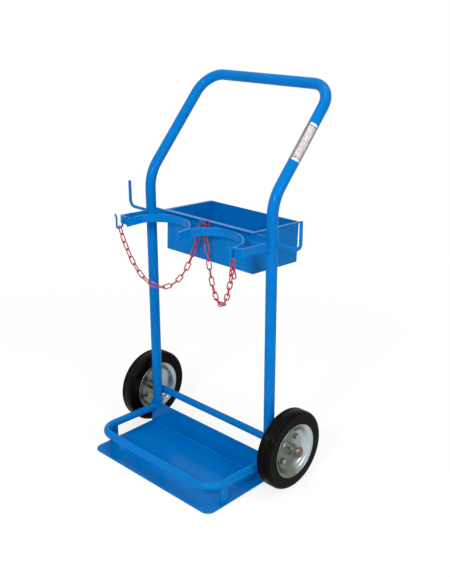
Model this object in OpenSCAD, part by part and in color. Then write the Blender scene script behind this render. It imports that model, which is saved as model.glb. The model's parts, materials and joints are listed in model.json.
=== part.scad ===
// Two-wheeled trolley for a pair of gas cylinders. Millimetres, Z up, the front towards -Y.
// The origin is the middle of the base plate's underside.

/* [Frame] */
// outside diameter of the frame tube
tube_d = 26.9; // [24:0.1:30]
// wall of the frame tube
tube_wall = 2; // [1.5:0.1:3]
// distance of the uprights' axes in from the side edges of the base plate
upright_inset = 9.5; // [9:0.5:12]
// height at which the uprights would meet the slanted part if the bend were sharp
bend_z = 713; // [700:1:740]
// slant of the upper part, measured from the vertical
slant_angle = 41.9; // [35:0.1:45]
// height of the axis of the top bar
handle_z = 947; // [920:1:980]
// centreline radius of the bends in the uprights
lower_bend_r = 100; // [60:1:110]
// centreline radius of the two corners of the handle
handle_bend_r = 60; // [45:1:80]
// height of the open tube ends above the plate's underside
foot_z = 1; // [0.5:0.5:5]

/* [Base] */
// width of the base plate
base_w = 433; // [430:1:440]
// depth of the base plate, its front edge to the back of the upstand
base_d = 210; // [205:1:230]
// thickness of the base plate
plate_t = 3; // [2:0.5:4]
// height of the folded upstand
upstand_h = 70; // [60:1:80]
// inside radius of the fold
fold_r = 3; // [1:0.5:6]
// radius of the two front corners
corner_r = 22; // [10:1:33]
// outside diameter of the guard rail tube
rail_d = 20; // [16:0.5:22]
// wall of the guard rail tube
rail_wall = 1.5; // [1:0.1:2.5]
// height of the rail's axis where it meets the upstand
rail_z = 49.4; // [44:0.1:56]
// upward tilt of the rail towards the front
rail_tilt = 2.1; // [0:0.1:3]
// distance from the plate's front edge back to the axis of the rail's front bar
rail_inset = 16.5; // [12:0.5:30]
// distance from the plate's side edges in to the axes of the rail's side bars
rail_side_inset = 9.5; // [9:0.5:14]
// centreline radius of the rail's two corners
rail_bend_r = 50; // [35:1:70]
// width of the flat bars that hold up the rail
post_w = 25; // [15:1:30]
// thickness of those bars
post_t = 5; // [3:0.5:6]
// distance of the bars' middle from the plate's front edge
post_y = 63; // [50:1:90]

/* [Wheels] */
// diameter of the tyres
tyre_d = 203; // [190:1:206]
// width of the tyres
tyre_w = 40; // [34:1:44]
// radius of the rolled edge of the wheel discs
rim_r = 70; // [66:0.5:74]
// radius of the flat middle of the wheel discs
flat_r = 45; // [44:0.5:50]
// sheet thickness of the wheel discs
disc_t = 2; // [1.5:0.1:2.5]
// diameter of the axle bar
axle_d = 19; // [17:0.5:19.5]
// length of axle bar beyond the outer washer
axle_tail = 4.5; // [3.5:0.1:5]
// height of the axle above the plate's underside
axle_z = 90; // [85:1:92]
// distance of the wheels' middle planes beyond the side edges of the base plate
wheel_reach = 36.5; // [36.3:0.1:37]
// outside diameter of the hub tubes
hub_d = 32; // [31:0.5:34]
// bore of the hub tubes
hub_bore = 27.2; // [27:0.1:28]
// length of the hub tubes
hub_l = 60; // [58:0.5:60.4]
// height of the domed caps pushed on the axle's ends
cap_h = 8; // [7.5:0.1:10]
// sheet thickness of those caps
cap_t = 0.8; // [0.6:0.1:1]
// number of rollers in each hub
roller_count = 8; // [6:1:9]
// radius of the circle of bolts that join the discs
bolt_circle_r = 35; // [30:0.5:37]
// shank diameter of those bolts
bolt_d = 8; // [6:0.5:8]

/* [Cradles] */
// height of all the bent strips and side arms
strip_h = 20; // [15:1:22]
// thickness of the strips and arms
strip_t = 5; // [4:0.5:6]
// height of the arms' top edge at the uprights
arm_z = 619; // [610:1:622]
// straight length of the arms forward of the uprights' axes
arm_l = 99; // [97:0.5:101]
// turn of the arms' ends towards the middle
arm_turn = 80; // [75:1:85]
// upward tilt of the arms towards the front
arm_tilt = 2.75; // [0:0.05:3.5]
// centreline radius of the cradle arcs
cradle_r = 100; // [96:1:102]
// distance of the outer ends of the arcs in from the uprights' axes
arc_inset = 33.55; // [31:0.05:36]
// distance of the arcs' centres forward of the uprights' axes
cradle_y = 113.8; // [110:0.2:116]
// height of the cradles' top edge in the plane of the uprights
cradle_z = 625; // [618:1:628]
// downward tilt of the cradles towards the front
cradle_tilt = 3; // [0:0.1:4]
// forward reach of the point where the two cradles meet
cusp_y = 100; // [95:1:105]
// forward reach of the cradles' outer ends
flare_reach = 106; // [104:0.5:110]

/* [Tool tray] */
// width of the tray's body
tray_w = 298; // [280:1:302]
// depth of the tray's body
tray_d = 162; // [150:1:180]
// height of the tray
tray_h = 103; // [90:1:110]
// sheet thickness of the tray
tray_t = 2; // [1.5:0.1:2.5]
// width of the outward flange on the front of the rim
front_flange = 13; // [8:0.5:13.5]
// width of the outward flange on both sides of the rim
side_flange = 7; // [4:0.5:12]
// height of the rim in the plane of the uprights
tray_z = 629; // [627:1:632]
// downward tilt of the tray towards the back
tray_tilt = 2.75; // [0:0.05:3.5]
// distance of the front wall behind the uprights' axes
tray_y = 5; // [4.5:0.5:8]
// height of the flat bars that carry the tray
bracket_h = 28; // [20:1:32]
// thickness of those bars
bracket_t = 4; // [3:0.5:5]
// overlap of the bars with the tray's front wall
bracket_lap = 10; // [8:1:20]

/* [Hooks and chains] */
// diameter of the hose hook rods
hose_rod_d = 8; // [6:0.5:9]
// distance of the upright part of a hose hook outwards from the upright's axis
hose_reach = 83; // [78:1:93]
// height of the level part of the hose hooks
hose_hook_z = 614; // [608:1:620]
// height of the hose hooks' tips
hose_tip_z = 682; // [665:1:700]
// centreline radius of the hose hooks' bends
hose_bend_r = 17; // [12:1:20]
// diameter of the chain hook rods
chain_rod_d = 5; // [4:0.1:5]
// distance of the chain hooks inwards from the uprights' axes
hook_inset = 12; // [11:0.5:13]
// forward reach of the chain hooks from the uprights' axes
hook_reach = 124.4; // [124:0.1:127]
// length of the chain hooks from their lowest axis to the tip
hook_h = 37; // [30:1:40]
// forward reach of the middle hook from the tray's front wall
anchor_reach = 30; // [29:0.5:32]
// height of the middle hook's axis
anchor_z = 621; // [612:0.5:621]
// wire of the chain links
wire_d = 3; // [2.5:0.1:3]
// inside length of a link
link_l = 20.8; // [20:0.5:22]
// inside width of a link
link_w = 7.5; // [7.4:0.1:8]
// links in the left chain
left_links = 20; // [20:1:21]
// links in the right chain
right_links = 19; // [19:1:20]

/* [Fits] */
// gap between pieces that are welded or bolted together
weld_gap = 0.1; // [0.05:0.01:0.2]
// gap between pieces that move past each other
move_gap = 0.3; // [0.3:0.05:0.4]
// play between the chains' end links and what they hang from
hang_gap = 0.8; // [0.75:0.05:0.9]
// radial running clearance of the rollers
run_gap = 0.05; // [0.03:0.01:0.08]

/* [Hidden] */
$fn = 96;
tube_r = tube_d / 2;
upright_x = base_w / 2 - upright_inset;
upright_y = base_d / 2 + weld_gap + tube_r;
slant_l = (handle_z - bend_z) / cos(slant_angle);
bend_run = lower_bend_r * tan(slant_angle / 2);
rail_r = rail_d / 2;
rail_x = base_w / 2 - rail_side_inset;
rail_front = base_d - plate_t - rail_inset;
wheel_x = base_w / 2 + wheel_reach;
axle_r = axle_d / 2;
axle_y = upright_y + tube_r + weld_gap + axle_r;
tyre_r = tyre_d / 2;
hub_r = hub_d / 2;
strip_r = strip_t / 2;
chain_hook_x = upright_x - hook_inset;
hose_hook_x = upright_x + hose_reach;
left = -1;
right = 1;

// colours
powder_blue = [0.02, 0.36, 0.68];
chain_red = [0.72, 0.06, 0.08];
zinc_grey = [0.74, 0.75, 0.77];
rubber_black = [0.07, 0.07, 0.07];
cage_brass = [0.7, 0.56, 0.3];
cap_grey = [0.5, 0.45, 0.43];

// ---------------------------------------------------------------- frame tube

// Straight pieces run a little way into the bends, which are drawn a hair thinner.
bend_lap = 0.5;
bend_thinning = 0.05;

module bend(angle, bend_r, r)
  rotate_extrude(angle = angle)
    translate([bend_r, 0])
      circle(r = r - bend_thinning);

// half a bent tube path of radius r: the right upright from end_z up, its bend, slant and corner
module upright_path(r, end_z) {
  translate([upright_x, upright_y, end_z])
    cylinder(r = r, h = bend_z - bend_run - end_z + bend_lap);
  translate([upright_x, upright_y + lower_bend_r, bend_z - bend_run])
    rotate([90, 0, -90])
      bend(slant_angle, lower_bend_r, r);
  translate([0, upright_y, bend_z])
    rotate([-slant_angle, 0, 0]) {
      translate([upright_x, 0, bend_run - bend_lap])
        cylinder(r = r, h = slant_l - bend_run - handle_bend_r + 2 * bend_lap);
      translate([upright_x - handle_bend_r, 0, slant_l - handle_bend_r])
        rotate([90, 0, 0])
          bend(90, handle_bend_r, r);
    }
}

module frame_path(r, end_z) {
  for (side = [0, 1])
    mirror([side, 0, 0])
      upright_path(r, end_z);
  bar_half = upright_x - handle_bend_r + bend_lap;
  translate([-bar_half, upright_y, bend_z])
    rotate([-slant_angle, 0, 0])
      translate([0, 0, slant_l])
        rotate([0, 90, 0])
          cylinder(r = r, h = 2 * bar_half);
}

module main_tube() color(powder_blue)
  difference() {
    frame_path(tube_r, foot_z);
    frame_path(tube_r - tube_wall, foot_z - 1);
  }

// room for the upright of one side, used to cope whatever is welded to it
module upright_room(side)
  translate([side * upright_x, upright_y, 0])
    cylinder(r = tube_r + weld_gap, h = bend_z - bend_run);

// ---------------------------------------------------------------- base

module plate_profile() {
  square([base_d - fold_r - plate_t, plate_t]);
  translate([base_d - plate_t, fold_r + plate_t])
    square([plate_t, upstand_h - fold_r - plate_t]);
  translate([base_d - fold_r - plate_t, fold_r + plate_t])
    intersection() {
      difference() {
        circle(r = fold_r + plate_t);
        circle(r = fold_r);
      }
      translate([0, -fold_r - plate_t])
        square(fold_r + plate_t);
    }
}

module plate_outline() {
  translate([-base_w / 2, -base_d / 2 + corner_r])
    square([base_w, base_d - corner_r]);
  translate([-base_w / 2 + corner_r, -base_d / 2])
    square([base_w - 2 * corner_r, corner_r]);
  for (side = [left, right])
    translate([side * (base_w / 2 - corner_r), -base_d / 2 + corner_r])
      circle(r = corner_r);
}

module base_plate() color(powder_blue)
  intersection() {
    translate([-base_w / 2, -base_d / 2, 0])
      rotate([90, 0, 90])
        linear_extrude(base_w)
          plate_profile();
    linear_extrude(upstand_h)
      plate_outline();
  }

// local frame of the tilted rail: its origin lies where the rail meets the upstand
module at_rail()
  translate([0, base_d / 2 - plate_t, rail_z])
    rotate([-rail_tilt, 0, 0])
      children();

module rail_half(r, extra) {
  side_l = rail_front - rail_bend_r;
  translate([rail_x, -side_l - bend_lap, 0])
    rotate([-90, 0, 0])
      cylinder(r = r, h = side_l + extra + bend_lap);
  translate([rail_x - rail_bend_r, -side_l, 0])
    rotate([0, 0, -90])
      bend(90, rail_bend_r, r);
}

module rail_path(r, extra) {
  for (side = [0, 1])
    mirror([side, 0, 0])
      rail_half(r, extra);
  bar_half = rail_x - rail_bend_r + bend_lap;
  translate([-bar_half, -rail_front, 0])
    rotate([0, 90, 0])
      cylinder(r = r, h = 2 * bar_half);
}

module guard_rail() color(powder_blue)
  difference() {
    at_rail()
      rail_path(rail_r, plate_t);
    at_rail()
      rail_path(rail_r - rail_wall, 2 * plate_t);
    translate([-base_w, base_d / 2 - plate_t - weld_gap, 0])
      cube([2 * base_w, 4 * plate_t, 2 * rail_z]);
  }

module guard_post(side) color(powder_blue)
  difference() {
    translate([side * rail_x - post_t / 2, -base_d / 2 + post_y - post_w / 2,
               plate_t + weld_gap])
      cube([post_t, post_w, rail_z]);
    at_rail()
      translate([side * rail_x, -rail_front, 0])
        rotate([-90, 0, 0])
          cylinder(r = rail_r + weld_gap, h = rail_front);
    at_rail()
      translate([side * rail_x - post_t, -rail_front, 0])
        cube([2 * post_t, rail_front, rail_z]);
  }

// ---------------------------------------------------------------- axle and wheels

washer_t = 2;
washer_face_x = wheel_x + hub_l / 2 + move_gap + washer_t;
axle_l = 2 * (washer_face_x + axle_tail);
axle_chamfer = 1;

module axle() color(powder_blue)
  translate([-axle_l / 2, axle_y, axle_z])
    rotate([0, 90, 0])
      rotate_extrude()
        polygon([[0, 0], [axle_r - axle_chamfer, 0], [axle_r, axle_chamfer],
                 [axle_r, axle_l - axle_chamfer], [axle_r - axle_chamfer, axle_l], [0, axle_l]]);

// local frame of one wheel: Z points outboard along the axle
module at_wheel(side)
  translate([side * wheel_x, axle_y, axle_z])
    rotate([0, side * 90, 0])
      children();

bead_r = flat_r + 9;
lip_z = tyre_w / 2 + 1;
roll_r = 1.5;
seat_gap = 0.3;
back_low = [flat_r + 1, weld_gap / 2];
back_high = [rim_r - 0.6, lip_z - 1.6];
bolt_head_h = 5.3;
bolt_tail = 3;
nut_h = 6.5;
hex_r = 7.5;
shoulder_r = 9;
groove_w = 1.6;
groove_depth = 1.2;
groove_step = 4.5;

// height of the back of a disc's cone at radius r
function back_z(r) =
  back_low[1] + (r - back_low[0]) * (back_high[1] - back_low[1]) / (back_high[0] - back_low[0]);

// right half of the tyre's inner contour, which follows the back of the disc
tyre_seat = [
  [bead_r, back_z(bead_r - seat_gap)],
  [rim_r - 2, back_z(rim_r - 2 - seat_gap)],
  [rim_r + seat_gap, back_z(rim_r - 1 - seat_gap)],
  [rim_r + 2, tyre_w / 2],
  [tyre_r - shoulder_r, tyre_w / 2]
];

module tyre_profile() {
  last = len(tyre_seat) - 1;
  difference() {
    union() {
      polygon(concat([for (i = [0:last]) [tyre_seat[i][0], -tyre_seat[i][1]]],
                     [for (i = [last:-1:0]) tyre_seat[i]]));
      translate([tyre_r - shoulder_r - 1, shoulder_r - tyre_w / 2])
        square([shoulder_r + 1, tyre_w - 2 * shoulder_r]);
      for (end = [-1, 1])
        translate([tyre_r - shoulder_r, end * (tyre_w / 2 - shoulder_r)])
          circle(r = shoulder_r);
    }
    for (end = [-1, 1], row = [0, 1])
      translate([tyre_r - groove_depth,
                 end * (tyre_w / 2 - shoulder_r - groove_step * row) - groove_w / 2])
        square([groove_depth + 1, groove_w]);
  }
}

module tyre(side) color(rubber_black)
  at_wheel(side)
    rotate_extrude()
      tyre_profile();

// one pressed half, its flat middle against the wheel's middle plane, dished towards +Z
module disc_half()
  difference() {
    rotate_extrude() {
      polygon([[hub_r + weld_gap, weld_gap / 2], back_low, back_high,
               [back_high[0] - disc_t, lip_z - 0.6],
               [flat_r, disc_t], [hub_r + weld_gap, disc_t]]);
      translate([rim_r - roll_r, lip_z - 0.8])
        circle(r = roll_r);
    }
    disc_holes();
  }

module disc_holes()
  for (i = [0:3])
    rotate([0, 0, 45 + 90 * i])
      translate([bolt_circle_r, 0, -1])
        cylinder(r = bolt_d / 2 + weld_gap, h = disc_t + 2);

module disc_outer(side) color(zinc_grey)
  at_wheel(side)
    disc_half();

module disc_inner(side) color(zinc_grey)
  at_wheel(side)
    mirror([0, 0, 1])
      disc_half();

module hub(side) color(zinc_grey)
  at_wheel(side)
    translate([0, 0, -hub_l / 2])
      difference() {
        cylinder(r = hub_r, h = hub_l);
        translate([0, 0, -1])
          cylinder(d = hub_bore, h = hub_l + 2);
      }

module disc_bolts(side) color(zinc_grey)
  at_wheel(side)
    for (i = [0:3])
      rotate([0, 0, 45 + 90 * i])
        translate([bolt_circle_r, 0, 0]) {
          translate([0, 0, disc_t + weld_gap])
            cylinder(r = hex_r, h = bolt_head_h, $fn = 6);
          translate([0, 0, -disc_t - nut_h - bolt_tail])
            cylinder(d = bolt_d, h = 2 * disc_t + nut_h + bolt_tail + 2 * weld_gap);
        }

module disc_nuts(side) color(zinc_grey)
  at_wheel(side)
    for (i = [0:3])
      rotate([0, 0, 45 + 90 * i])
        translate([bolt_circle_r, 0, -disc_t - weld_gap - nut_h])
          difference() {
            cylinder(r = hex_r, h = nut_h, $fn = 6);
            translate([0, 0, -1])
              cylinder(r = bolt_d / 2 + weld_gap, h = nut_h + 2);
          }

roller_d = hub_bore / 2 - axle_r - 2 * run_gap;
roller_ring_r = (hub_bore / 2 + axle_r) / 2;
roller_l = hub_l - 12;
cage_l = hub_l - 2;
cage_half_wall = 1.1;

module roller_cage(side) color(cage_brass)
  at_wheel(side)
    translate([0, 0, -cage_l / 2])
      difference() {
        cylinder(r = roller_ring_r + cage_half_wall, h = cage_l);
        translate([0, 0, -1])
          cylinder(r = roller_ring_r - cage_half_wall, h = cage_l + 2);
        for (i = [0:roller_count - 1])
          rotate([0, 0, i * 360 / roller_count])
            translate([roller_ring_r, 0, (cage_l - roller_l) / 2 - weld_gap])
              cylinder(r = roller_d / 2 + weld_gap, h = roller_l + 2 * weld_gap);
      }

module rollers(side) color(zinc_grey)
  at_wheel(side)
    for (i = [0:roller_count - 1])
      rotate([0, 0, i * 360 / roller_count])
        translate([roller_ring_r, 0, -roller_l / 2])
          cylinder(d = roller_d, h = roller_l);

module washer(x, side) color(zinc_grey)
  translate([side * x, axle_y, axle_z])
    rotate([0, side * 90, 0])
      difference() {
        cylinder(r = hub_r, h = washer_t);
        translate([0, 0, -1])
          cylinder(r = axle_r + weld_gap, h = washer_t + 2);
      }

module inner_washer(side)
  washer(wheel_x - hub_l / 2 - move_gap - washer_t, side);

module outer_washer(side)
  washer(wheel_x + hub_l / 2 + move_gap, side);

cap_r = hub_r - 0.3;
dome_r = (cap_r * cap_r + cap_h * cap_h) / (2 * cap_h);
tooth_count = 8;
tooth_slot = 1.5;
tooth_l = 3.2;

// a domed spring steel cap whose ring of teeth grips the axle
module axle_cap(side) color(cap_grey)
  translate([side * (washer_face_x + weld_gap), axle_y, axle_z])
    rotate([0, side * 90, 0])
      difference() {
        rotate_extrude() {
          intersection() {
            translate([0, cap_h - dome_r])
              difference() {
                circle(r = dome_r);
                circle(r = dome_r - cap_t);
              }
            square([cap_r, cap_h]);
          }
          translate([axle_r + weld_gap, 0])
            square([cap_r - cap_t - axle_r - weld_gap, cap_t]);
        }
        for (i = [0:tooth_count - 1])
          rotate([0, 0, i * 360 / tooth_count])
            translate([axle_r - 1, -tooth_slot / 2, -1])
              cube([tooth_l + 1, tooth_slot, cap_t + 1.5]);
      }

// ---------------------------------------------------------------- arms and cradles

module at_arms(z, tilt)
  translate([0, upright_y, z])
    rotate([tilt, 0, 0])
      children();

// all that lies inside the outer face of the right cradle's free end
module flare_room()
  at_arms(cradle_z, cradle_tilt)
    translate([cradle_x, -cradle_y] + ray(flare_turn, cradle_r))
      rotate(flare_angle)
        translate([strip_r + weld_gap - upright_x, -2 * flare_l, -2 * strip_h])
          cube([upright_x, 2 * flare_l, 4 * strip_h]);

module arm_outline()
  translate([upright_x, 0]) {
    strip_line(arm_l);
    translate([0, -arm_l]) {
      strip_knee();
      rotate(-arm_turn)
        strip_line((upright_x - cradle_x) / 2);
    }
  }

// the arm's end turns inwards and meets the outer face of the cradle's end
module side_arm(side) color(powder_blue)
  mirror([side == left ? 1 : 0, 0, 0])
    difference() {
      at_arms(arm_z, -arm_tilt)
        translate([0, 0, -strip_h])
          linear_extrude(strip_h)
            arm_outline();
      upright_room(right);
      flare_room();
    }

// each arc spans from the leg beside the middle plane to the start of the flare
leg_x = strip_r + weld_gap / 2;
cradle_x = (upright_x - arc_inset + leg_x) / 2;
leg_turn = acos((leg_x - cradle_x) / cradle_r);
flare_turn = 180 - leg_turn;
flare_angle = 8;
flare_l = (flare_reach - cradle_y + cradle_r * sin(flare_turn)) / cos(flare_angle);
knee_swell = 0.1;

// seen from above, a straight piece of strip that runs from the origin towards -Y
module strip_line(length)
  translate([-strip_r, -length])
    square([strip_t, length]);

// the outside of a sharp bend, drawn a hair fuller than the strip
module strip_knee()
  circle(r = strip_r + knee_swell);

function ray(angle, length) = [length * cos(angle), length * sin(angle)];

module strip_arc()
  intersection() {
    difference() {
      circle(r = cradle_r + strip_r);
      circle(r = cradle_r - strip_r);
    }
    polygon([[0, 0], ray(flare_turn, 2 * cradle_r), ray(flare_turn + 45, 2 * cradle_r),
             ray(leg_turn - 45, 2 * cradle_r), ray(leg_turn, 2 * cradle_r)]);
  }

module cradle_outline() {
  leg_y = -cradle_y + cradle_r * sin(leg_turn);
  translate([cradle_x, -cradle_y])
    strip_arc();
  translate([leg_x, leg_y]) {
    strip_knee();
    strip_line(cusp_y + leg_y);
  }
  translate([cradle_x, -cradle_y] + ray(flare_turn, cradle_r)) {
    strip_knee();
    rotate(flare_angle)
      strip_line(flare_l);
  }
}

module cradle_strip()
  translate([0, 0, -strip_h])
    linear_extrude(strip_h)
      cradle_outline();

module cradle(side) color(powder_blue)
  mirror([side == left ? 1 : 0, 0, 0])
    difference() {
      at_arms(cradle_z, cradle_tilt)
        cradle_strip();
      translate([-base_w, -base_d, 0])
        cube([base_w + weld_gap / 2, 2 * base_d, handle_z]);
    }

// ---------------------------------------------------------------- tool tray

module at_tray()
  translate([0, upright_y, tray_z])
    rotate([-tray_tilt, 0, 0])
      translate([0, tray_y, 0])
        children();

module tool_tray() color(powder_blue)
  at_tray()
    difference() {
      union() {
        translate([-tray_w / 2, 0, -tray_h])
          cube([tray_w, tray_d, tray_h]);
        translate([-tray_w / 2 - side_flange, -front_flange, -tray_t])
          cube([tray_w + 2 * side_flange, tray_d + front_flange, tray_t]);
      }
      translate([-tray_w / 2 + tray_t, tray_t, tray_t - tray_h])
        cube([tray_w - 2 * tray_t, tray_d - 2 * tray_t, tray_h]);
    }

module tray_bracket(side) color(powder_blue)
  difference() {
    at_tray()
      translate([side * (upright_x + tray_w / 2 - bracket_lap) / 2
                 - (upright_x - tray_w / 2 + bracket_lap) / 2,
                 -bracket_t - weld_gap, -tray_t - weld_gap - bracket_h])
        cube([upright_x - tray_w / 2 + bracket_lap, bracket_t, bracket_h]);
    upright_room(side);
  }

// ---------------------------------------------------------------- hooks

module bent_rod(r, bend_r, level_l, rise_l) {
  cylinder(r = r, h = level_l);
  translate([bend_r, 0, level_l])
    rotate([90, 0, 180])
      rotate_extrude(angle = 90)
        translate([bend_r, 0])
          circle(r = r);
  translate([bend_r, 0, level_l + bend_r])
    rotate([0, 90, 0])
      cylinder(r = r, h = rise_l);
}

module hose_hook(side) color(powder_blue)
  mirror([side == left ? 1 : 0, 0, 0])
    difference() {
      translate([upright_x, upright_y, hose_hook_z])
        rotate([0, 90, 0])
          mirror([1, 0, 0])
            bent_rod(hose_rod_d / 2, hose_bend_r, hose_hook_x - upright_x - hose_bend_r,
                     hose_tip_z - hose_hook_z - hose_bend_r);
      upright_room(right);
    }

hook_r = chain_rod_d / 2;
hook_bend_r = 5;
hook_drop = 28.3;
shank_l = 15;
tip_l = 12;
tip_lean = 20;
tip_swell = 0.05;

// the shank stands against the front of the arm's turned end
shank_seat = strip_r + weld_gap + hook_r;
shank_run = (upright_x - chain_hook_x + shank_seat * cos(arm_turn)) / sin(arm_turn);
shank_y = arm_l + shank_run * cos(arm_turn) + shank_seat * sin(arm_turn);
half_level = (hook_reach - shank_y) / 2 - hook_bend_r;

// a rod bent to a U: the shank up the arm, the level part and the upright with a leaning tip
module chain_hook(side) color(powder_blue)
  at_arms(arm_z, -arm_tilt)
    translate([side * chain_hook_x, -(hook_reach + shank_y) / 2, -hook_drop])
      rotate([90, 0, 0])
        rotate([0, 0, 90]) {
          bent_rod(hook_r, hook_bend_r, half_level, hook_h - tip_l - hook_bend_r);
          mirror([0, 0, 1])
            bent_rod(hook_r, hook_bend_r, half_level, shank_l);
          translate([hook_h - tip_l, 0, half_level + hook_bend_r]) {
            sphere(r = hook_r + tip_swell);
            rotate([0, 90 - tip_lean, 0])
              cylinder(r = hook_r, h = tip_l);
          }
        }

anchor_bend_r = 5;
anchor_rise = 13;
anchor_root_l = 10;
tray_face_y = upright_y + tray_y;

module chain_anchor() color(powder_blue)
  difference() {
    translate([0, tray_face_y + anchor_root_l, anchor_z])
      rotate([90, 0, 0])
        rotate([0, 0, 90])
          bent_rod(hook_r, anchor_bend_r, anchor_root_l + anchor_reach - anchor_bend_r,
                   anchor_rise - anchor_bend_r);
    at_tray()
      translate([-tray_w / 2, -weld_gap, -tray_h])
        cube([tray_w, tray_d, tray_h]);
  }

// ---------------------------------------------------------------- chains

wire_r = wire_d / 2;
link_arc_r = (link_w + wire_d) / 2;
link_straight = link_l + wire_d - 2 * link_arc_r;
pitch = link_l - move_gap;
over_rod = hook_r + hang_gap;
over_wire = wire_r + hang_gap;

// one link, long along X, lying in the XY plane, centred on the origin
module link() {
  for (end = [0, 180])
    rotate([0, 0, end]) {
      translate([link_straight / 2, 0, 0])
        rotate([0, 0, -90])
          rotate_extrude(angle = 180)
            translate([link_arc_r, 0])
              circle(r = wire_r);
      translate([-link_straight / 2, link_arc_r, 0])
        rotate([0, 90, 0])
          cylinder(r = wire_r, h = link_straight);
    }
}

function sinh(x) = (exp(x) - exp(-x)) / 2;
function asinh(x) = ln(x + sqrt(x * x + 1));
function atanh(x) = ln((1 + x) / (1 - x)) / 2;

// the catenary's size for a level distance h and a length factor q, found by halving
function sag_size(h, q, low, high, n) =
  let (mid = (low + high) / 2)
    n == 0 ? mid
           : 2 * mid * sinh(h / (2 * mid)) > q ? sag_size(h, q, mid, high, n - 1)
                                               : sag_size(h, q, low, mid, n - 1);

// a point of the hanging curve, s along it from the end a towards the end b
function hang_point(a, b, length, s) =
  let (h = norm([b[0] - a[0], b[1] - a[1]]),
       v = b[2] - a[2],
       c = sag_size(h, sqrt(length * length - v * v), 5, 2000, 40),
       start_x = c * atanh(v / length) - h / 2,
       start_s = c * sinh(start_x / c),
       x = c * asinh((s + start_s) / c) - start_x,
       z = sqrt(c * c + (s + start_s) * (s + start_s)) - sqrt(c * c + start_s * start_s))
    [a[0] + (b[0] - a[0]) * x / h, a[1] + (b[1] - a[1]) * x / h, a[2] + z];

// turns a link from the curve's own plane to face straight along a hook rod
function end_twist(az, el) = atan2(-sin(el) * sin(az), cos(az));
twist_links = 5;

// hangs from a rod of radius hook_r at a and from a wire of radius wire_r at b
module hanging_chain(a, b, count) {
  length = count * pitch - over_rod - over_wire;
  spread = count % 2 == 1 ? 90 / (count - 1) : 0;
  for (i = [0:count - 1]) {
    p = hang_point(a, b, length, i * pitch - over_rod);
    q = hang_point(a, b, length, (i + 1) * pitch - over_rod);
    d = q - p;
    az = atan2(d[1], d[0]);
    el = atan2(d[2], norm([d[0], d[1]]));
    share = max(0, 1 - min(i, count - 1 - i) / twist_links);
    turn = end_twist(abs(az) > 90 ? az - 180 : az, el);
    translate((p + q) / 2)
      rotate([90 * (i + 1) + spread * i + share * turn, -el, az])
        link();
  }
}

// where the chains hang: on the level part of each outer hook and from the middle link's ends
hang_inset = 10;
middle_inset = 8.5;
hang_reach = hook_reach - hang_inset;
hang_y = upright_y - hang_reach * cos(arm_tilt) - hook_drop * sin(arm_tilt);
hang_z = arm_z + hang_reach * sin(arm_tilt) - hook_drop * cos(arm_tilt);
middle_y = tray_face_y - anchor_reach + middle_inset;
middle_z = anchor_z + hook_r + weld_gap + wire_r - link_arc_r;
pull_angle = 16;
pull_x = link_straight / 2 + link_arc_r * sin(pull_angle);
pull_z = middle_z - link_arc_r * cos(pull_angle);

// the link that lies across the middle hook and joins both chains
module chain_middle_link() color(chain_red)
  translate([0, middle_y, middle_z])
    rotate([90, 0, 0])
      link();

module chain_left() color(chain_red)
  hanging_chain([-chain_hook_x, hang_y, hang_z], [-pull_x, middle_y, pull_z], left_links);

// the spare end of the right chain: two links that hang straight down in front of the first
tail_step = 4.8;
tail_lift = 1.2;
tail_tilt = 14;

module chain_tail()
  translate([chain_hook_x, hang_y - tail_step, hang_z])
    rotate([0, -tail_tilt, 0])
      for (i = [0, 1])
        translate([0, 0, over_rod + tail_lift - pitch * (i + 0.5)])
          rotate([0, 90, 90 * (1 - i)])
            link();

module chain_right() color(chain_red) {
  hanging_chain([chain_hook_x, hang_y, hang_z], [pull_x, middle_y, pull_z], right_links);
  chain_tail();
}

// ---------------------------------------------------------------- nodes

main_tube();
base_plate();
guard_rail();
guard_post(left);  // guard_post_left
guard_post(right);  // guard_post_right
axle();
side_arm(left);  // side_arm_left
side_arm(right);  // side_arm_right
cradle(left);  // cradle_left
cradle(right);  // cradle_right
tool_tray();
tray_bracket(left);  // tray_bracket_left
tray_bracket(right);  // tray_bracket_right
hose_hook(left);  // hose_hook_left
hose_hook(right);  // hose_hook_right
chain_hook(left);  // chain_hook_left
chain_hook(right);  // chain_hook_right
chain_anchor();
chain_middle_link();
chain_left();
chain_right();
tyre(left);  // tyre_left
tyre(right);  // tyre_right
disc_outer(left);  // disc_outer_left
disc_outer(right);  // disc_outer_right
disc_inner(left);  // disc_inner_left
disc_inner(right);  // disc_inner_right
hub(left);  // hub_left
hub(right);  // hub_right
disc_bolts(left);  // disc_bolts_left
disc_bolts(right);  // disc_bolts_right
disc_nuts(left);  // disc_nuts_left
disc_nuts(right);  // disc_nuts_right
roller_cage(left);  // roller_cage_left
roller_cage(right);  // roller_cage_right
rollers(left);  // rollers_left
rollers(right);  // rollers_right
inner_washer(left);  // inner_washer_left
inner_washer(right);  // inner_washer_right
outer_washer(left);  // outer_washer_left
outer_washer(right);  // outer_washer_right
axle_cap(left);  // axle_cap_left
axle_cap(right);  // axle_cap_right
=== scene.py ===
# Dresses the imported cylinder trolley: paint, plating, rubber, weld beads and a blank label.
import json
import math

import bpy
from mathutils import Matrix, Vector


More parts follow.
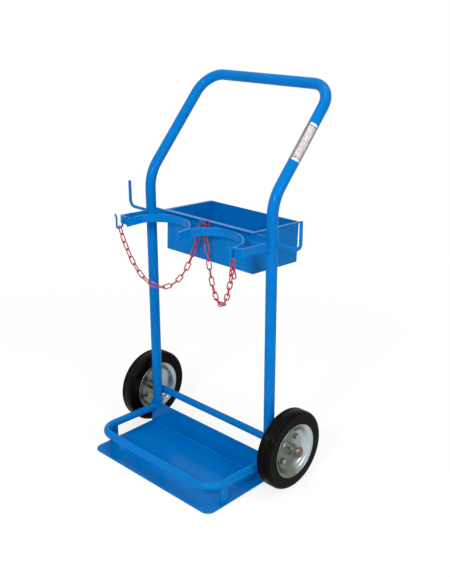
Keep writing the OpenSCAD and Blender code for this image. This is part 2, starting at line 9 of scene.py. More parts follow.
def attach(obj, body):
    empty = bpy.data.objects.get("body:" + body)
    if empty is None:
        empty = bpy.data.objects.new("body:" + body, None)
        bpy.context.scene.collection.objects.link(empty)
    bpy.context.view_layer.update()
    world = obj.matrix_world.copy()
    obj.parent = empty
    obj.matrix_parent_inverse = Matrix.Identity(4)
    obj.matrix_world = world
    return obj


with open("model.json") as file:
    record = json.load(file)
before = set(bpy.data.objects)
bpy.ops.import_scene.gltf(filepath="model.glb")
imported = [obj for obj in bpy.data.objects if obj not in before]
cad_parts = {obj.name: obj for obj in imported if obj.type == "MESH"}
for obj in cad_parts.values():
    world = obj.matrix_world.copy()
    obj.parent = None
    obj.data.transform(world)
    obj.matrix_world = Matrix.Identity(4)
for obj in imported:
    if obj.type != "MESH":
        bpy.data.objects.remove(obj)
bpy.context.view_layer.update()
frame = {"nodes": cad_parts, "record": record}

nodes = frame["nodes"]
mm = 0.001
bothSides = (("Left", -1), ("Right", 1))
print("scene: frame loaded with", len(nodes), "nodes")


def makeCamera():
    view = {"at": (1.37204, -1.23822, 1.16745), "turn": 44.082, "down": 20.340, "roll": -0.212,
            "lens": 51.33, "sensor": 36}
    bpy.ops.object.camera_add(location=view["at"])
    camera = bpy.context.object
    camera.name = "viewCamera"
    turned = (Matrix.Rotation(math.radians(view["turn"]), 3, "Z")
              @ Matrix.Rotation(math.radians(90 - view["down"]), 3, "X")
              @ Matrix.Rotation(math.radians(view["roll"]), 3, "Z"))
    camera.rotation_mode = "QUATERNION"
    camera.rotation_quaternion = turned.to_quaternion()
    camera.data.lens = view["lens"]
    camera.data.sensor_width = view["sensor"]
    bpy.context.scene.camera = camera


def linear(hexText):
    channels = [int(hexText[i:i + 2], 16) / 255 for i in (1, 3, 5)]
    return [c / 12.92 if c <= 0.04045 else ((c + 0.055) / 1.055) ** 2.4 for c in channels] + [1.0]


def addNode(tree, kind, inputs=None, out=0, **settings):
    # adds a node, sets or links its inputs and gives back one of its outputs
    node = tree.nodes.new("ShaderNode" + kind)
    for name, value in settings.items():
        setattr(node, name, value)
    for socket, source in (inputs or {}).items():
        if isinstance(source, bpy.types.NodeSocket):
            tree.links.new(source, node.inputs[socket])
        else:
            node.inputs[socket].default_value = source
    return node.outputs[out]


def newMaterial(name, **constants):
    material = bpy.data.materials.new(name)
    material.use_nodes = True
    shader = material.node_tree.nodes["Principled BSDF"]
    for socket, value in constants.items():
        shader.inputs[socket.replace("_", " ")].default_value = value
    return material, material.node_tree, shader


def feed(tree, shader, **sources):
    for socket, source in sources.items():
        tree.links.new(source, shader.inputs[socket.replace("_", " ")])


def patches(tree, place, size, detail, low, high, least=0.0, most=1.0, roughness=0.5):
    # soft patches of a size in millimetres, cut between two levels of the field
    field = addNode(tree, "TexNoise", {"Vector": place, "Scale": 1 / (size * mm), "Detail": detail,
                                       "Roughness": roughness})
    return addNode(tree, "MapRange", {"Value": field, "From Min": low, "From Max": high,
                                      "To Min": least, "To Max": most})


def backdropRays(tree):
    # 1 for what the camera sees straight, in a gloss or through glass, 0 for light that falls on the object
    camera = addNode(tree, "LightPath", out="Is Camera Ray")
    glossy = addNode(tree, "LightPath", out="Is Glossy Ray")
    through = addNode(tree, "LightPath", out="Is Transmission Ray")
    seen = addNode(tree, "Math", {0: camera, 1: glossy}, operation="MAXIMUM")
    return addNode(tree, "Math", {0: seen, 1: through}, operation="MAXIMUM")


def makeRoom():
    paper = {"size": 14, "frontEdge": -105, "below": 0.2, "lean": 2.70, "colour": "#f4f4f4",
             "glow": 0.8, "glowFrom": 0.75, "glowTo": 1.7}
    bpy.ops.mesh.primitive_plane_add(size=paper["size"])
    floor = bpy.context.object
    floor.name = "studioFloor"
    floor.rotation_euler = (math.radians(-paper["lean"]), 0, 0)
    floor.location = (0, paper["frontEdge"] * mm, -paper["below"] * mm)
    material, tree, shader = newMaterial("matt studio floor", Roughness=0.9, Specular_IOR_Level=0.0)
    shader.inputs["Base Color"].default_value = linear(paper["colour"])
    # white paper sweep: it keeps the shadow near the trolley and runs out to plain white
    place = addNode(tree, "TexCoord", out="Object")
    away = addNode(tree, "VectorMath", {0: place}, out="Value", operation="LENGTH")
    whiter = addNode(tree, "MapRange", {"Value": away, "From Min": paper["glowFrom"], "From Max": paper["glowTo"],
                                        "To Min": paper["glow"], "To Max": 1.0})
    share = addNode(tree, "Math", {0: backdropRays(tree), 1: whiter}, operation="MULTIPLY")
    glow = addNode(tree, "Emission", {"Color": (1, 1, 1, 1), "Strength": 1.0})
    mixed = addNode(tree, "MixShader", {0: share, 1: shader.outputs[0], 2: glow})
    tree.links.new(mixed, tree.nodes["Material Output"].inputs["Surface"])
    floor.data.materials.append(material)

    room = {"lighting": 0.5, "seen": 1.0}
    world = bpy.data.worlds.new("white room")
    bpy.context.scene.world = world
    world.use_nodes = True
    tree = world.node_tree
    strength = addNode(tree, "MapRange", {"Value": backdropRays(tree), "From Min": 0, "From Max": 1,
                                          "To Min": room["lighting"], "To Max": room["seen"]})
    background = tree.nodes["Background"]
    background.inputs["Color"].default_value = (1, 1, 1, 1)
    tree.links.new(strength, background.inputs["Strength"])


def makeLights():
    lamps = [
        {"name": "keySoftbox", "at": (1.25, -2.65, 2.3), "side": 0.5, "power": 62},
        {"name": "fillSoftbox", "at": (2.7, -0.5, 2.1), "side": 0.8, "power": 26},
        {"name": "topSoftbox", "at": (0.2, 0.3, 5.0), "side": 3.0, "power": 100},
    ]
    target = Vector((0, 0.1, 0.45))
    for lamp in lamps:
        bpy.ops.object.light_add(type="AREA", location=lamp["at"])
        light = bpy.context.object
        light.name = lamp["name"]
        light.data.shape = "RECTANGLE"
        light.data.size = light.data.size_y = lamp["side"]
        light.data.energy = lamp["power"]
        light.rotation_mode = "QUATERNION"
        light.rotation_quaternion = (target - light.location).to_track_quat("-Z", "Y")


def powderCoat(name="powder coated steel", beads=False):
    # electrostatic powder coat, baked: an even film with orange peel, thinner on edges; its paler edges are partly
    # thin paint, partly a painted highlight of edges catching the light
    paint = {"colour": "#006cb6", "deep": "#0066ae", "thin": "#1a86cf", "cloud": 70, "edge": 0.7, "paleEdgesThinAndLit": 0.35,
             "rubSize": 9, "peel": 2.2, "ripple": 0.8, "rippleBy": 1.5, "depth": 0.2, "bump": 0.2 if beads else 0.04,
             "glossSize": 40, "glossy": 0.12, "dull": 0.19}
    material, tree, shader = newMaterial(name, Roughness=0.16, Specular_IOR_Level=0.045)
    place = addNode(tree, "TexCoord", out="Object")
    cloud = patches(tree, place, paint["cloud"], 2, 0.3, 0.7)
    body = addNode(tree, "Mix", {0: cloud, 6: linear(paint["deep"]), 7: linear(paint["colour"])}, 2, data_type="RGBA")
    rounded = addNode(tree, "Bevel", {"Radius": paint["edge"] * mm}, samples=4)
    flat = addNode(tree, "NewGeometry", out="Normal")
    facing = addNode(tree, "VectorMath", {0: rounded, 1: flat}, out="Value", operation="DOT_PRODUCT")
    # paler edges in patches: partly thin paint, partly a painted highlight
    edge = addNode(tree, "MapRange", {"Value": facing, "From Min": 0.99, "From Max": 0.8, "To Max": paint["paleEdgesThinAndLit"]})
    rub = patches(tree, place, paint["rubSize"], 4, 0.42, 0.62)
    share = addNode(tree, "Math", {0: edge, 1: rub}, operation="MULTIPLY")
    body = addNode(tree, "Mix", {0: share, 6: body, 7: linear(paint["thin"])}, 2, data_type="RGBA")
    height = addNode(tree, "TexNoise", {"Vector": place, "Scale": 1 / (paint["peel"] * mm), "Detail": 1.5})
    if beads:
        ripple = addNode(tree, "TexNoise", {"Vector": place, "Scale": 1 / (paint["ripple"] * mm), "Detail": 2})
        height = addNode(tree, "Math", {0: ripple, 1: paint["rippleBy"], 2: height}, operation="MULTIPLY_ADD")
    bump = addNode(tree, "Bump", {"Height": height, "Normal": rounded, "Strength": paint["bump"],
                                  "Distance": paint["depth"] * mm})
    gloss = patches(tree, place, paint["glossSize"], 3, 0.3, 0.7, paint["glossy"], paint["dull"])
    feed(tree, shader, Base_Color=body, Normal=bump, Roughness=gloss)
    return material


def axleCoat():
    # the same coat on the axle bar, masked off where the wheels run, with bare turned steel beyond
    bare = {"steel": "#8d8176", "dark": "#5d534b", "from": 218.5, "to": 219.3, "wobble": 1.2, "wobbleSize": 4,
            "stainSize": 6, "roughness": 0.38}
    material = powderCoat("axle coat and bare bar")
    tree = material.node_tree
    paint = tree.nodes["Principled BSDF"].outputs[0]
    place = addNode(tree, "TexCoord", out="Object")
    across = addNode(tree, "SeparateXYZ", {0: place}, out="X")
    distance = addNode(tree, "Math", {0: across}, operation="ABSOLUTE")
    wave = addNode(tree, "TexNoise", {"Vector": place, "Scale": 1 / (bare["wobbleSize"] * mm), "Detail": 2})
    ragged = addNode(tree, "Math", {0: wave, 1: bare["wobble"] * mm, 2: distance}, operation="MULTIPLY_ADD")
    share = addNode(tree, "MapRange", {"Value": ragged, "From Min": bare["from"] * mm, "From Max": bare["to"] * mm})
    stain = patches(tree, place, bare["stainSize"], 4, 0.35, 0.7)
    tone = addNode(tree, "Mix", {0: stain, 6: linear(bare["steel"]), 7: linear(bare["dark"])}, 2, data_type="RGBA")
    steel = addNode(tree, "BsdfPrincipled", {"Base Color": tone, "Metallic": 1.0, "Roughness": bare["roughness"]})
    mixed = addNode(tree, "MixShader", {0: share, 1: paint, 2: steel})
    tree.links.new(mixed, tree.nodes["Material Output"].inputs["Surface"])
    return material


def dippedRed():
    # welded chain dipped in red paint: a glossy film, chipped through in small spots
    coat = {"colour": "#b01226", "deep": "#8c0d1d", "metal": "#7d6f6a", "cloud": 14, "chipSize": 2.2, "chipped": 0.6,
            "runs": 1.5, "bump": 0.12, "depth": 0.15}
    material, tree, shader = newMaterial("dipped red chain", Roughness=0.28, Specular_IOR_Level=0.5,
                                         Coat_Weight=0.2, Coat_Roughness=0.1)
    place = addNode(tree, "TexCoord", out="Object")
    cloud = patches(tree, place, coat["cloud"], 3, 0.3, 0.7)
    body = addNode(tree, "Mix", {0: cloud, 6: linear(coat["deep"]), 7: linear(coat["colour"])}, 2, data_type="RGBA")
    chips = patches(tree, place, coat["chipSize"], 5, 0.70, 0.74, 0.0, coat["chipped"], roughness=0.65)
    body = addNode(tree, "Mix", {0: chips, 6: body, 7: linear(coat["metal"])}, 2, data_type="RGBA")
    height = addNode(tree, "TexNoise", {"Vector": place, "Scale": 1 / (coat["runs"] * mm), "Detail": 2})
    bump = addNode(tree, "Bump", {"Height": height, "Strength": coat["bump"], "Distance": coat["depth"] * mm})
    feed(tree, shader, Base_Color=body, Normal=bump)
    return material


def fromAxle(tree, place):
    # distance from the axle's line, which runs along X
    axle = (0, 141.6 * mm, 90 * mm)
    offset = addNode(tree, "VectorMath", {0: place, 1: axle}, operation="SUBTRACT")
    flat = addNode(tree, "VectorMath", {0: offset, 1: (0, 1, 1)}, operation="MULTIPLY")
    return addNode(tree, "VectorMath", {0: flat}, out="Value", operation="LENGTH")


def platedDisc():
    # sheet steel pressed over a die, then bright zinc plated and clear passivated
    zinc = {"paintedReflection": "#b3bec4", "grey": "#686e68", "green": "#71796b", "filmSize": 22, "reflectionEdgeWobble": 45, "reflectionEdgeWobbleSize": 30,
            "paintedReflectionFrom": 165, "paintedReflectionTo": 220, "flat": 45, "rim": 69, "swell": -1.6, "dent": 0.04, "dentSize": 14,
            "ring": 1.4, "ringDepth": 0.003, "glossSize": 18, "glossy": 0.26, "dull": 0.36}
    material, tree, shader = newMaterial("zinc plated pressing", Metallic=1.0, Roughness=0.25, Anisotropic=0.55)
    place = addNode(tree, "TexCoord", out="Object")
    radius = fromAxle(tree, place)
    # the zinc is greenish grey in patches; towards the back it is painted bluish white, a painted reflection with a
    # wobbly edge
    along = addNode(tree, "SeparateXYZ", {0: place}, out="Y")
    reflectionEdgeWobble = addNode(tree, "TexNoise", {"Vector": place, "Scale": 1 / (zinc["reflectionEdgeWobbleSize"] * mm), "Detail": 3})
    # painted reflection: runs is the height along Y, wobbled, where the bluish white begins
    runs = addNode(tree, "Math", {0: reflectionEdgeWobble, 1: zinc["reflectionEdgeWobble"] * mm, 2: along}, operation="MULTIPLY_ADD")
    film = patches(tree, place, zinc["filmSize"], 3, 0.35, 0.7)
    thin = addNode(tree, "Mix", {0: film, 6: linear(zinc["grey"]), 7: linear(zinc["green"])}, 2, data_type="RGBA")
    share = addNode(tree, "MapRange", {"Value": runs, "From Min": zinc["paintedReflectionFrom"] * mm,
                                       "From Max": zinc["paintedReflectionTo"] * mm})
    tone = addNode(tree, "Mix", {0: share, 6: thin, 7: linear(zinc["paintedReflection"])}, 2, data_type="RGBA")
    # the press leaves a soft S between the flat middle and the rolled edge, and the die its turning rings
    swing = addNode(tree, "MapRange", {"Value": radius, "From Min": zinc["flat"] * mm, "From Max": zinc["rim"] * mm,
                                       "To Max": 2 * math.pi})
    swing = addNode(tree, "Math", {0: swing}, operation="SINE")
    rings = addNode(tree, "Math", {0: radius, 1: 2 * math.pi / (zinc["ring"] * mm)}, operation="MULTIPLY")
    rings = addNode(tree, "Math", {0: rings}, operation="SINE")
    dents = addNode(tree, "TexNoise", {"Vector": place, "Scale": 1 / (zinc["dentSize"] * mm), "Detail": 2})
    height = addNode(tree, "Math", {0: swing, 1: zinc["swell"] * mm}, operation="MULTIPLY")
    height = addNode(tree, "Math", {0: dents, 1: zinc["dent"] * mm, 2: height}, operation="MULTIPLY_ADD")
    height = addNode(tree, "Math", {0: rings, 1: zinc["ringDepth"] * mm, 2: height}, operation="MULTIPLY_ADD")
    bump = addNode(tree, "Bump", {"Height": height, "Strength": 1.0, "Distance": 1.0})
    around = addNode(tree, "Tangent", direction_type="RADIAL", axis="X")
    gloss = patches(tree, place, zinc["glossSize"], 3, 0.3, 0.75, zinc["glossy"], zinc["dull"])
    feed(tree, shader, Base_Color=tone, Normal=bump, Tangent=around, Roughness=gloss)
    return material


def bareMetal(name, first, second, glossy, dull, size=6):
    # two tones in patches of a size in millimetres, with a fine grain
    grain = {"size": 1.2, "bump": 0.15, "depth": 0.08}
    material, tree, shader = newMaterial(name, Metallic=1.0, Roughness=0.35)
    place = addNode(tree, "TexCoord", out="Object")
    film = patches(tree, place, size, 4, 0.35, 0.68)
    tone = addNode(tree, "Mix", {0: film, 6: linear(first), 7: linear(second)}, 2, data_type="RGBA")
    gloss = patches(tree, place, size / 2, 3, 0.3, 0.7, glossy, dull)
    height = addNode(tree, "TexNoise", {"Vector": place, "Scale": 1 / (grain["size"] * mm), "Detail": 3})
    bump = addNode(tree, "Bump", {"Height": height, "Strength": grain["bump"], "Distance": grain["depth"] * mm})
    feed(tree, shader, Base_Color=tone, Normal=bump, Roughness=gloss)
    return material


def mouldedRubber():
    # solid rubber cured in a polished mould: glossy sidewalls, duller tread, a little dust
    rubber = {"black": "#070605", "worn": "#0d0b0a", "dust": "#231f1c", "wallTo": 96, "treadFrom": 100.5,
              "wearSize": 20, "dustSize": 7, "dusty": 0.3, "glossSize": 10, "glossy": 0.17, "dull": 0.24,
              "treadDull": 0.04, "edge": 0.6, "wheelMiddle": 253, "ribAt": 11, "ribStep": 4.5, "crown": -0.4,
              "grainSize": 0.9, "grain": 0.004}
    material, tree, shader = newMaterial("cured solid rubber", Roughness=0.25, Specular_IOR_Level=0.035)
    place = addNode(tree, "TexCoord", out="Object")
    radius = fromAxle(tree, place)
    tread = addNode(tree, "MapRange", {"Value": radius, "From Min": rubber["wallTo"] * mm,
                                       "From Max": rubber["treadFrom"] * mm})
    wear = patches(tree, place, rubber["wearSize"], 4, 0.3, 0.7)
    tone = addNode(tree, "Mix", {0: wear, 6: linear(rubber["black"]), 7: linear(rubber["worn"])}, 2, data_type="RGBA")
    dust = patches(tree, place, rubber["dustSize"], 5, 0.5, 0.8, 0.0, rubber["dusty"])
    dust = addNode(tree, "Math", {0: tread, 1: dust}, operation="MULTIPLY")
    tone = addNode(tree, "Mix", {0: dust, 6: tone, 7: linear(rubber["dust"])}, 2, data_type="RGBA")
    gloss = patches(tree, place, rubber["glossSize"], 3, 0.3, 0.7, rubber["glossy"], rubber["dull"])
    gloss = addNode(tree, "Math", {0: tread, 1: rubber["treadDull"], 2: gloss}, operation="MULTIPLY_ADD")
    # the ribs between the moulded grooves are softly crowned
    across = addNode(tree, "SeparateXYZ", {0: place}, out="X")
    across = addNode(tree, "Math", {0: across}, operation="ABSOLUTE")
    fromRib = addNode(tree, "Math", {0: across, 1: (rubber["wheelMiddle"] + rubber["ribAt"]) * mm},
                      operation="SUBTRACT")
    wave = addNode(tree, "Math", {0: fromRib, 1: 2 * math.pi / (rubber["ribStep"] * mm)}, operation="MULTIPLY")
    wave = addNode(tree, "Math", {0: wave}, operation="COSINE")
    crown = addNode(tree, "Math", {0: wave, 1: rubber["crown"] * mm}, operation="MULTIPLY")
    grain = addNode(tree, "TexNoise", {"Vector": place, "Scale": 1 / (rubber["grainSize"] * mm), "Detail": 2})
    grain = addNode(tree, "Math", {0: grain, 1: rubber["grain"] * mm}, operation="MULTIPLY")
    height = addNode(tree, "Math", {0: crown, 1: tread, 2: grain}, operation="MULTIPLY_ADD")
    rounded = addNode(tree, "Bevel", {"Radius": rubber["edge"] * mm}, samples=4)
    bump = addNode(tree, "Bump", {"Height": height, "Normal": rounded, "Strength": 1.0, "Distance": 1.0})
    feed(tree, shader, Base_Color=tone, Normal=bump, Roughness=gloss)
    return material


def foilLabel(label, axis, side, middle):
    # silvered polyester film left blank: pale in the middle, painted dark grey towards its sides as a painted
    # reflection, with a thin dark line near each end and the ends lightened as a painted highlight
    foil = {"pale": "#c9bfbf", "grey": "#a99d9e", "frame": "#8d848a", "dark": "#5d5558", "end": "#cdd2d4",
            "cloud": 9, "lineFrom": 9, "lineTo": 8, "highlightFrom": 6.5, "highlightTo": 6, "darkSidesCloud": 5, "blur": 0.8,
            "crease": 12, "bump": 0.25, "depth": 0.3}
    material, tree, shader = newMaterial("blank silvered label", Metallic=0.25, Roughness=0.35)
    place = addNode(tree, "TexCoord", out="Object")
    offset = addNode(tree, "VectorMath", {0: place, 1: middle}, operation="SUBTRACT")
    along = addNode(tree, "VectorMath", {0: offset, 1: axis}, out="Value", operation="DOT_PRODUCT")
    along = addNode(tree, "Math", {0: along}, operation="ABSOLUTE")
    around = addNode(tree, "VectorMath", {0: offset, 1: side}, out="Value", operation="DOT_PRODUCT")
    around = addNode(tree, "Math", {0: around}, operation="ABSOLUTE")
    half = (label["to"] - label["from"]) / 2
    cloud = patches(tree, place, foil["cloud"], 4, 0.35, 0.65)
    tone = addNode(tree, "Mix", {0: cloud, 6: linear(foil["pale"]), 7: linear(foil["grey"])}, 2, data_type="RGBA")
    line = addNode(tree, "MapRange", {"Value": along, "From Min": (half - foil["lineFrom"]) * mm,
                                      "From Max": (half - foil["lineTo"]) * mm})
    tone = addNode(tree, "Mix", {0: line, 6: tone, 7: linear(foil["dark"])}, 2, data_type="RGBA")
    # painted highlight: the label's ends are lightened
    end = addNode(tree, "MapRange", {"Value": along, "From Min": (half - foil["highlightFrom"]) * mm,
                                     "From Max": (half - foil["highlightTo"]) * mm})
    tone = addNode(tree, "Mix", {0: end, 6: tone, 7: linear(foil["end"])}, 2, data_type="RGBA")
    # painted reflection: the film turns dark grey away from the middle that faces the front right
    cloud = patches(tree, place, foil["darkSidesCloud"], 4, 0.35, 0.65)
    paintedDarkSides = addNode(tree, "Mix", {0: cloud, 6: linear(foil["frame"]), 7: linear(foil["dark"])}, 2, data_type="RGBA")
    darkSidesShare = addNode(tree, "MapRange", {"Value": around, "From Min": label["litMiddleHalf"] * mm,
                                          "From Max": (label["litMiddleHalf"] + foil["blur"]) * mm})
    tone = addNode(tree, "Mix", {0: darkSidesShare, 6: tone, 7: paintedDarkSides}, 2, data_type="RGBA")
    height = addNode(tree, "TexNoise", {"Vector": place, "Scale": 1 / (foil["crease"] * mm), "Detail": 3})
    bump = addNode(tree, "Bump", {"Height": height, "Strength": foil["bump"], "Distance": foil["depth"] * mm})
    feed(tree, shader, Base_Color=tone, Normal=bump)
    return material


def dressNodes():
    bySlot = {
        "frame_paint": powderCoat(),
        "axle_paint": axleCoat(),
        "chain_paint": dippedRed(),
        "wheel_zinc": platedDisc(),
        # barrel plated bolts and nuts come out dull and even
        "fastener_zinc": bareMetal("zinc plated fasteners", "#9ba09e", "#737875", 0.24, 0.4),
        # hardened, then ground between wheels: grey with a fine sheen
        "hard_steel": bareMetal("ground hard steel", "#8f9194", "#6f7173", 0.2, 0.34, 4),
        # phosphate and oil leave spring steel brownish grey
        "cap_steel": bareMetal("phosphated spring steel", "#7d6f6b", "#5b504d", 0.3, 0.4, 8),
        # pressed brass, darkened in patches by oil
        "cage_brass": bareMetal("oiled sheet brass", "#b08d4a", "#8a6a35", 0.25, 0.45, 5),
        "tyre_rubber": mouldedRubber(),
    }
    # drawn tube is smooth under its plating; its zinc is a brighter copy of the pressings' zinc, a painted reflection
    hubTube = bareMetal("zinc plated drawn tube", "#eef0ed", "#c6cbc6", 0.1, 0.18, 10)
    slots = {part["node"]: part["material_slot"] for part in frame["record"]["subparts"]}
    for name, piece in nodes.items():
        piece.data.materials.clear()
        piece.data.materials.append(hubTube if name.startswith("hub_") else bySlot[slots[name]])
    return bySlot


def startPiece():
    if bpy.context.object and bpy.context.object.mode != "OBJECT":
        bpy.ops.object.mode_set(mode="OBJECT")
    bpy.ops.object.select_all(action="DESELECT")


def settle(piece):
    # leaves the place in the mesh and the object at the origin
    bpy.ops.object.transform_apply(location=True, rotation=True, scale=True)
    bpy.ops.object.shade_smooth()
    return piece


beadShape = {"squeeze": 0.72, "step": 0.62, "voxel": 0.5}


def beadDrop(bead):
    # one solidified drop of a bead, flattened along the way the torch moved
    bpy.ops.mesh.primitive_uv_sphere_add(segments=12, ring_count=8, radius=bead)
    drop = bpy.context.object
    drop.scale = (beadShape["squeeze"], 1, 1)
    bpy.ops.object.transform_apply(location=False, rotation=False, scale=True)
    return drop


def weldLine(start, end, bead):
    startPiece()
    length = (end - start).length
    piece = beadDrop(bead)
    row = piece.modifiers.new("row", "ARRAY")
    row.use_relative_offset = False
    row.use_constant_offset = True
    row.count = max(2, round(length / (bead * beadShape["step"])))
    row.constant_offset_displace = (length / (row.count - 1), 0, 0)
    bpy.ops.object.modifier_apply(modifier="row")
    piece.rotation_mode = "QUATERNION"
    piece.rotation_quaternion = (end - start).to_track_quat("X", "Z")
    piece.location = start
    return settle(piece)


def weldRing(centre, axis, radius, bead):
    startPiece()
    piece = beadDrop(bead)
    piece.location = (0, radius, 0)
    bpy.ops.object.transform_apply(location=True, rotation=False, scale=False)
    steps = max(8, round(2 * math.pi * radius / (bead * beadShape["step"])))
    bpy.ops.object.mode_set(mode="EDIT")
    bpy.ops.mesh.select_all(action="SELECT")
    bpy.ops.mesh.spin(steps=steps, dupli=True, angle=2 * math.pi, center=(0, 0, 0), axis=(0, 0, 1))
    bpy.ops.mesh.remove_doubles(threshold=0.00001)
    bpy.ops.object.mode_set(mode="OBJECT")
    piece.rotation_mode = "QUATERNION"
    piece.rotation_quaternion = Vector(axis).to_track_quat("Z", "X")
    piece.location = centre
    return settle(piece)


def fuseBeads(name, pieces, material):
    bpy.ops.object.select_all(action="DESELECT")
    for piece in pieces:
        piece.select_set(True)
    bpy.context.view_layer.objects.active = pieces[0]
    if len(pieces) > 1:
        bpy.ops.object.join()
    whole = bpy.context.object
    whole.name = whole.data.name = name
    fuse = whole.modifiers.new("fuse", "REMESH")
    fuse.mode = "VOXEL"
    fuse.voxel_size = beadShape["voxel"] * mm
    fuse.use_smooth_shade = True
    bpy.ops.object.modifier_apply(modifier="fuse")
    whole.data.materials.clear()
    whole.data.materials.append(material)
    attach(whole, "frame")


def makeWelds(material):
    # millimetres, for the right side; x is mirrored for the left
    strips = {"tubeAxis": 118.55, "armTop": 619, "armTilt": 2.75, "cradleTop": 625, "cradleTilt": -3}
    frontOfTube, backOfWall = 105.2, 106.2

    def onStrip(x, forward, drop, top, tilt):
        # a point of a tilted strip, from the uprights' axes and the strip's top edge
        turn = math.radians(tilt)
        return (x, strips["tubeAxis"] - forward * math.cos(turn) - drop * math.sin(turn),
                top + forward * math.sin(turn) - drop * math.cos(turn))

    def onArm(x, forward, drop):
        return onStrip(x, forward, drop, strips["armTop"], strips["armTilt"])

    def onCradle(x, forward, drop):
        return onStrip(x, forward, drop, strips["cradleTop"], strips["cradleTilt"])

    welds = [
        {"name": "weldUprightFoot", "bead": 2.0, "lines": [
            ((200.6, backOfWall, 8), (200.6, backOfWall, 68)),
            ((213.4, backOfWall, 8), (213.4, backOfWall, 68))]},
        {"name": "weldAxle", "bead": 2.4, "lines": [
            ((200, 132.8, 96.3), (214, 132.8, 96.3)),
            ((200, 132.8, 83.7), (214, 132.8, 83.7))]},
        {"name": "weldRailEnd", "bead": 1.9, "rings": [((207, 101.4, 49.4), (0, 1, 0), 10.4)]},
        {"name": "weldPostFoot", "bead": 1.7, "lines": [
            ((203.9, -53, 3.6), (203.9, -31, 3.6)),
            ((210.1, -53, 3.6), (210.1, -31, 3.6))]},
        {"name": "weldPostTop", "bead": 1.7, "lines": [
            ((204.1, -53, 46.0), (204.1, -31, 45.2)),
            ((209.9, -53, 46.0), (209.9, -31, 45.2))]},
        {"name": "weldSideArm", "bead": 1.9, "lines": [
            ((203.6, frontOfTube, 601), (203.6, frontOfTube, 618.5)),
            ((210.4, frontOfTube, 601), (210.4, frontOfTube, 618.5))]},
        {"name": "weldHoseHook", "bead": 1.7, "rings": [((220.7, 118.55, 614), (1, 0, 0), 4.4)]},
        {"name": "weldTrayBracket", "bead": 1.7, "lines": [
            ((193.4, 118.8, 625.2), (193.4, 117.6, 600.6)),
            ((138.8, 122.9, 625.2), (138.8, 121.7, 600.6))]},
        {"name": "weldCradleEnd", "bead": 1.7, "lines": [
            (onArm(181.4, 100.3, 5.5), onArm(181.4, 100.3, 18.5)),
            (onArm(182.3, 106.1, 5.5), onArm(182.3, 106.1, 18.5))]},
        {"name": "weldChainHook", "bead": 1.4, "lines": [
            (onArm(192.6, 105.1, 9.5), onArm(192.6, 105.1, 18.5)),
            (onArm(196.8, 104.4, 9.5), onArm(196.8, 104.4, 18.5))]},
        {"name": "weldCusp", "bead": 1.8, "middle": True, "lines": [
            (onCradle(0, 100, 1.5), onCradle(0, 100, 18.5))]},
        {"name": "weldAnchor", "bead": 1.3, "middle": True, "rings": [((0, 122.8, 621), (0, 1, 0), 2.9)]},
    ]
    for weld in welds:
        for sideName, side in ((("", 1),) if weld.get("middle") else bothSides):
            mirrored = Vector((side, 1, 1)) * mm
            made = []
            for start, end in weld.get("lines", []):
                made.append(weldLine(Vector(start) * mirrored, Vector(end) * mirrored, weld["bead"] * mm))
            for centre, axis, radius in weld.get("rings", []):
                made.append(weldRing(Vector(centre) * mirrored, axis, radius * mm, weld["bead"] * mm))
            fuseBeads(weld["name"] + sideName, made, material)
    print("scene: weld beads made")


def makeSpareLink(material):
    # an end link left on the middle hook, standing up just in front of the tray's flange
    link = {"wire": 3.0, "length": 20.8, "width": 7.5, "at": (5.6, 108.4, 624.8), "climb": 25, "lean": 4}
    startPiece()
    arc = (link["width"] + link["wire"]) / 2
    bpy.ops.mesh.primitive_torus_add(major_radius=arc * mm, minor_radius=link["wire"] / 2 * mm,
                                     major_segments=48, minor_segments=16)
    piece = bpy.context.object
    piece.name = piece.data.name = "spareLink"
    half = (link["length"] + link["wire"]) / 2 - arc
    # each half of the ring moves out, which leaves the straight sides between them
    for way in (-1, 1):
        bpy.ops.object.mode_set(mode="EDIT")
        bpy.ops.mesh.select_all(action="DESELECT")
        bpy.ops.object.mode_set(mode="OBJECT")
        for vertex in piece.data.vertices:
            vertex.select = vertex.co.x * way > 0.05 * mm
        bpy.ops.object.mode_set(mode="EDIT")
        bpy.ops.transform.translate(value=(way * half * mm, 0, 0))
        bpy.ops.object.mode_set(mode="OBJECT")
    turned = (Matrix.Rotation(math.radians(-link["lean"]), 3, "X")
              @ Matrix.Rotation(math.radians(-link["climb"]), 3, "Y")
              @ Matrix.Rotation(math.radians(90), 3, "X"))
    piece.rotation_mode = "QUATERNION"
    piece.rotation_quaternion = turned.to_quaternion()
    piece.location = Vector(link["at"]) * mm
    settle(piece)
    piece.data.materials.append(material)
    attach(piece, "frame")
    print("scene: spare link made")


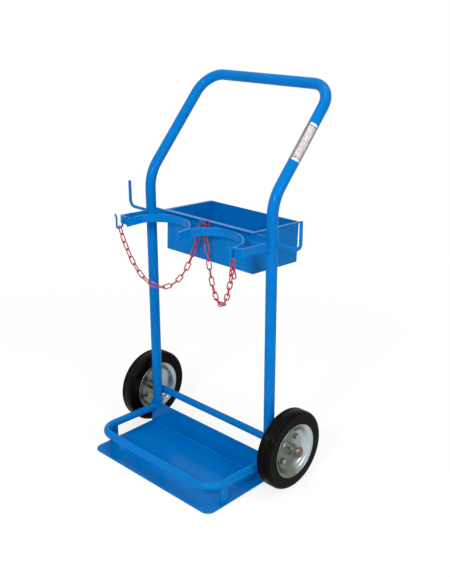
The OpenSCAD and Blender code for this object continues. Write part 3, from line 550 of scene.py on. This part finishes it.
def makeLabel():
    # sits on the outer front of the right slanted tube and wraps well round it; from and to run up the slant
    label = {"from": 103.5, "to": 203.5, "tube": 13.45, "lift": 0.04, "thick": 0.14, "facing": -42, "wrap": 112,
             "litMiddleHalf": 8.2, "crisp": 35}
    bend = {"at": (207, 118.55, 713), "slant": 41.9}
    startPiece()
    radius = (label["tube"] + label["lift"]) * mm
    length = (label["to"] - label["from"]) * mm
    bpy.ops.mesh.primitive_cylinder_add(vertices=144, radius=radius, depth=length, end_fill_type="NOTHING")
    piece = bpy.context.object
    piece.name = piece.data.name = "blankLabel"
    turn = math.radians(label["facing"])
    faceWay = Vector((math.cos(turn), math.sin(turn), 0))
    bpy.ops.object.mode_set(mode="EDIT")
    bpy.ops.mesh.select_all(action="SELECT")
    bpy.ops.mesh.bisect(plane_co=faceWay * radius * math.cos(math.radians(label["wrap"])), plane_no=faceWay,
                        clear_inner=True)
    bpy.ops.object.mode_set(mode="OBJECT")
    sheet = piece.modifiers.new("sheet", "SOLIDIFY")
    sheet.thickness = label["thick"] * mm
    sheet.offset = 1
    bpy.ops.object.modifier_apply(modifier="sheet")

    slope = Matrix.Rotation(math.radians(-bend["slant"]), 3, "X")
    axis = slope @ Vector((0, 0, 1))
    sideWay = slope @ Vector((-math.sin(turn), math.cos(turn), 0))
    middle = Vector(bend["at"]) * mm + axis * (label["from"] + label["to"]) / 2 * mm
    piece.rotation_euler = (math.radians(-bend["slant"]), 0, 0)
    piece.location = middle
    settle(piece)
    bpy.ops.object.shade_smooth_by_angle(angle=math.radians(label["crisp"]))
    piece.data.materials.append(foilLabel(label, tuple(axis), tuple(sideWay), tuple(middle)))
    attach(piece, "frame")
    print("scene: label made")


makeCamera()
makeRoom()
makeLights()
print("scene: camera, room and lights made")
slotMaterials = dressNodes()
print("scene: materials set")
makeWelds(powderCoat("powder coated weld bead", beads=True))
makeSpareLink(slotMaterials["chain_paint"])
makeLabel()

bpy.context.scene.view_settings.view_transform = "Standard"
